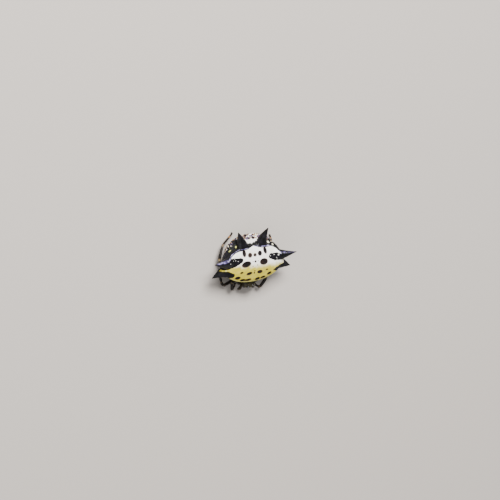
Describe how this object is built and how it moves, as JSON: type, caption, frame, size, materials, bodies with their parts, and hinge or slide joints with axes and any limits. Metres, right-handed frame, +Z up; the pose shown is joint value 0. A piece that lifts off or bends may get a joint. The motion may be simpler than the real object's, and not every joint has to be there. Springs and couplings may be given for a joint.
{
  "type": "spiny orb weaver",
  "caption": "Life-size still model of a spiny orb weaver spider: a wide armoured plate with dark spines, raised head, short drawn-in legs; stands on its feet",
  "frame": {"origin": "on the floor, midway between the spines' tips from side to side and midway between the foremost and hindmost points", "axes": "+Z up out of the back, -Y towards the head, +X towards the animal's left"},
  "size_m": [0.013, 0.0095, 0.0052],
  "materials": {
    "plate": "hard, slightly glossy shell; white to pale yellow plate with black sunken spots, black spines and a black, folded underside",
    "dark_shell": "dark brown, slightly glossy shell",
    "head_shell": "dark olive brown shell with fine pale down",
    "leg_shell": "dark brown shell with orange brown and cream bands, sparse bristles",
    "eye": "glossy black lens"
  },
  "bodies": {
    "root": {"abdomen": "plate", "spinnerets": "dark_shell", "pedicel": "dark_shell", "carapace": "head_shell", "sternum": "dark_shell", "chelicera_left": "dark_shell", "chelicera_right": "dark_shell", "palp_left": "leg_shell", "palp_right": "leg_shell", "leg_1_left": "leg_shell", "leg_1_right": "leg_shell", "leg_2_left": "leg_shell", "leg_2_right": "leg_shell", "leg_3_left": "leg_shell", "leg_3_right": "leg_shell", "leg_4_left": "leg_shell", "leg_4_right": "leg_shell", "eye_front_median_left": "eye", "eye_front_median_right": "eye", "eye_rear_median_left": "eye", "eye_rear_median_right": "eye", "eye_front_lateral_left": "eye", "eye_front_lateral_right": "eye", "eye_rear_lateral_left": "eye", "eye_rear_lateral_right": "eye"}
  },
  "joints": []
}
